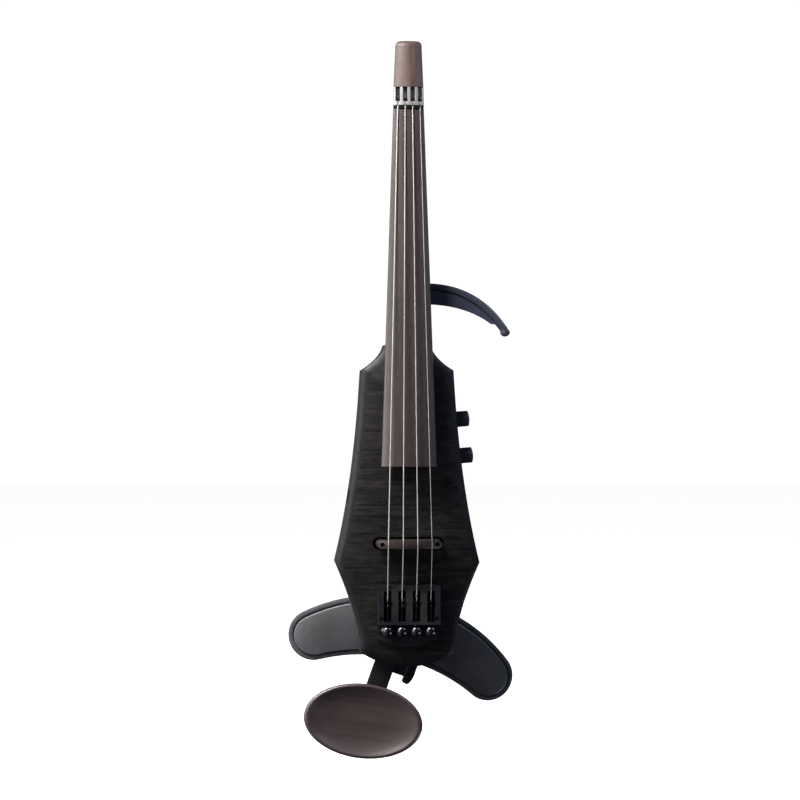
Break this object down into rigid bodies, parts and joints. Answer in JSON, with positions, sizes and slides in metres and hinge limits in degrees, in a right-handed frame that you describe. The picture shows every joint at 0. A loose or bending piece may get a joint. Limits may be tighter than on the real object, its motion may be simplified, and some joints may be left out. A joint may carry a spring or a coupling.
{
  "type": "electric violin",
  "caption": "Headless electric violin with bridge, tail tuners, tone controls, chin rest, shoulder rest and upper-bout arm.",
  "frame": {"origin": "middle of the body tail, its lowest edge at half the body depth", "axes": "+Z from the tail to the head, front faces -Y, +X to the treble side"},
  "size_m": [0.1768, 0.1167, 0.5394],
  "materials": {
    "core_wood": "satin black stain",
    "top_wood": "gloss transparent black over flamed maple",
    "neck_wood": "satin",
    "board_wood": "satin",
    "cap_wood": "satin",
    "bridge_wood": "satin",
    "chin_wood": "satin",
    "anchor_metal": "brushed",
    "brass": "satin",
    "black_metal": "satin black anodised",
    "black_screws": "black oxide",
    "carriage_metal": "satin",
    "knob_chrome": "black chrome",
    "string_steel": "wound",
    "steel": "satin",
    "control_metal": "satin black",
    "lever_metal": "satin black",
    "cover_plastic": "matte",
    "circuit_board": "solder mask",
    "cable": "matte",
    "plate_plastic": "fine grain",
    "pad_foam": "foam",
    "bout_plastic": "satin",
    "rail_plastic": "satin"
  },
  "bodies": {
    "instrument": {"body_core": "core_wood", "body_top": "top_wood", "neck": "neck_wood", "fingerboard": "board_wood", "head_cap": "cap_wood", "string_anchor": "anchor_metal", "string_g": "string_steel", "string_d": "string_steel", "string_a": "string_steel", "string_e": "string_steel", "string_balls": "brass", "bridge_pickup": "brass", "bridge_screw_seats": "brass", "tuner_housing": "black_metal", "housing_screws": "black_screws", "volume_pot": "steel", "tone_pot": "steel", "control_nuts": "steel", "output_jack": "steel", "jack_nut": "steel", "control_cover": "cover_plastic", "cover_screws": "steel", "preamp_board": "circuit_board", "pickup_lead": "cable", "rear_bracket": "black_metal", "bracket_screws": "steel", "swivel_post": "steel", "post_clip": "steel", "bout_arm": "bout_plastic", "bout_rail": "rail_plastic", "bout_screws": "steel"},
    "bridge_bar": {"bridge": "bridge_wood"},
    "bass_screw": {"bridge_screw_bass": "black_screws"},
    "treble_screw": {"bridge_screw_treble": "black_screws"},
    "volume": {"volume_knob": "control_metal"},
    "tone": {"tone_knob": "control_metal"},
    "chin_swing": {"chin_arm": "black_metal", "clamp_rod": "steel", "clamp_block": "black_metal", "clamp_pin": "steel"},
    "cam_lever": {"clamp_lever": "lever_metal"},
    "chin_reach": {"chin_slide": "steel"},
    "chin_height": {"chin_post": "steel"},
    "chin_cup": {"chin_plate": "black_metal", "chin_dish": "chin_wood"},
    "rest_height": {"shoulder_collar": "steel", "collar_nut": "steel"},
    "rest_lock": {"shoulder_lock_screw": "lever_metal"},
    "rest_swivel": {"shoulder_swivel": "black_metal"},
    "rest_tilt": {"shoulder_plate": "plate_plastic", "shoulder_pad": "pad_foam", "tilt_pin": "steel"},
    "knob_g": {"tuning_knob_g": "knob_chrome"},
    "slider_g": {"carriage_g": "carriage_metal"},
    "knob_d": {"tuning_knob_d": "knob_chrome"},
    "slider_d": {"carriage_d": "carriage_metal"},
    "knob_a": {"tuning_knob_a": "knob_chrome"},
    "slider_a": {"carriage_a": "carriage_metal"},
    "knob_e": {"tuning_knob_e": "knob_chrome"},
    "slider_e": {"carriage_e": "carriage_metal"}
  },
  "joints": [
    {"name": "turn_knob_g", "type": "hinge", "parent": "instrument", "child": "knob_g", "pos_m": [-0.01635, -0.0305, 0.0285], "axis": [0, 0, 1], "range_deg": [-1873, 1873]},
    {"name": "slide_carriage_g", "type": "slide", "parent": "instrument", "child": "slider_g", "axis": [0, 0, 1], "range_m": [-0.0026, 0.0026]},
    {"name": "turn_knob_d", "type": "hinge", "parent": "instrument", "child": "knob_d", "pos_m": [-0.00545, -0.0305, 0.0285], "axis": [0, 0, 1], "range_deg": [-1873, 1873]},
    {"name": "slide_carriage_d", "type": "slide", "parent": "instrument", "child": "slider_d", "axis": [0, 0, 1], "range_m": [-0.0026, 0.0026]},
    {"name": "turn_knob_a", "type": "hinge", "parent": "instrument", "child": "knob_a", "pos_m": [0.00545, -0.0305, 0.0285], "axis": [0, 0, 1], "range_deg": [-1873, 1873]},
    {"name": "slide_carriage_a", "type": "slide", "parent": "instrument", "child": "slider_a", "axis": [0, 0, 1], "range_m": [-0.0026, 0.0026]},
    {"name": "turn_knob_e", "type": "hinge", "parent": "instrument", "child": "knob_e", "pos_m": [0.01635, -0.0305, 0.0285], "axis": [0, 0, 1], "range_deg": [-1873, 1873]},
    {"name": "slide_carriage_e", "type": "slide", "parent": "instrument", "child": "slider_e", "axis": [0, 0, 1], "range_m": [-0.0026, 0.0026]},
    {"name": "turn_volume", "type": "hinge", "parent": "instrument", "child": "volume", "pos_m": [0.0369, -0.003, 0.1873], "axis": [0.9962, 0, 0.0872], "range_deg": [-150, 150]},
    {"name": "turn_tone", "type": "hinge", "parent": "instrument", "child": "tone", "pos_m": [0.0397, -0.003, 0.1595], "axis": [0.9962, 0, 0.0872], "range_deg": [-150, 150]},
    {"name": "turn_bass_screw", "type": "hinge", "parent": "instrument", "child": "bass_screw", "pos_m": [-0.0206, -0.03, 0.094], "axis": [0, 1, 0], "range_deg": [-865, 0]},
    {"name": "turn_treble_screw", "type": "hinge", "parent": "instrument", "child": "treble_screw", "pos_m": [0.0206, -0.03, 0.094], "axis": [0, 1, 0], "range_deg": [-865, 0]},
    {"name": "lower_bridge", "type": "slide", "parent": "instrument", "child": "bridge_bar", "axis": [0, 1, 0], "range_m": [0, 0.0012]},
    {"name": "swing_chin_arm", "type": "hinge", "parent": "instrument", "child": "chin_swing", "pos_m": [0.0068, 0.0272, 0.058], "axis": [0, 1, 0], "range_deg": [-12, 12]},
    {"name": "open_cam_lever", "type": "hinge", "parent": "chin_swing", "child": "cam_lever", "pos_m": [0.00846, 0.0298, 0.00005], "axis": [0, -1, 0], "range_deg": [0, 110]},
    {"name": "extend_chin_arm", "type": "slide", "parent": "chin_swing", "child": "chin_reach", "axis": [-0.3371, 0, -0.9415], "range_m": [-0.004, 0.014]},
    {"name": "raise_chin_rest", "type": "slide", "parent": "chin_reach", "child": "chin_height", "axis": [0, 1, 0], "range_m": [-0.008, 0.004]},
    {"name": "turn_chin_rest", "type": "hinge", "parent": "chin_height", "child": "chin_cup", "pos_m": [-0.02691, -0.028, -0.03615], "axis": [0, 1, 0], "range_deg": [-25, 25]},
    {"name": "raise_shoulder_rest", "type": "slide", "parent": "instrument", "child": "rest_height", "axis": [0, 1, 0], "range_m": [0, 0.01]},
    {"name": "turn_lock_screw", "type": "hinge", "parent": "rest_height", "child": "rest_lock", "pos_m": [0.0068, 0.047, 0.07], "axis": [0, 0, 1], "range_deg": [-180, 180]},
    {"name": "swivel_shoulder_rest", "type": "hinge", "parent": "rest_height", "child": "rest_swivel", "pos_m": [0.0068, 0.0385, 0.058], "axis": [0, 1, 0], "range_deg": [-20, 20]},
    {"name": "tilt_shoulder_rest", "type": "hinge", "parent": "rest_swivel", "child": "rest_tilt", "pos_m": [0.00672, 0.043, 0.02788], "axis": [0.9724, 0, -0.2334], "range_deg": [-10, 10]}
  ],
  "couplings": [
    {"joint": "turn_knob_g", "follows": "slide_carriage_g", "rad_per_m": -12566},
    {"joint": "turn_knob_d", "follows": "slide_carriage_d", "rad_per_m": -12566},
    {"joint": "turn_knob_a", "follows": "slide_carriage_a", "rad_per_m": -12566},
    {"joint": "turn_knob_e", "follows": "slide_carriage_e", "rad_per_m": -12566},
    {"joint": "turn_bass_screw", "follows": "lower_bridge", "rad_per_m": -12566},
    {"joint": "turn_treble_screw", "follows": "lower_bridge", "rad_per_m": -12566}
  ]
}
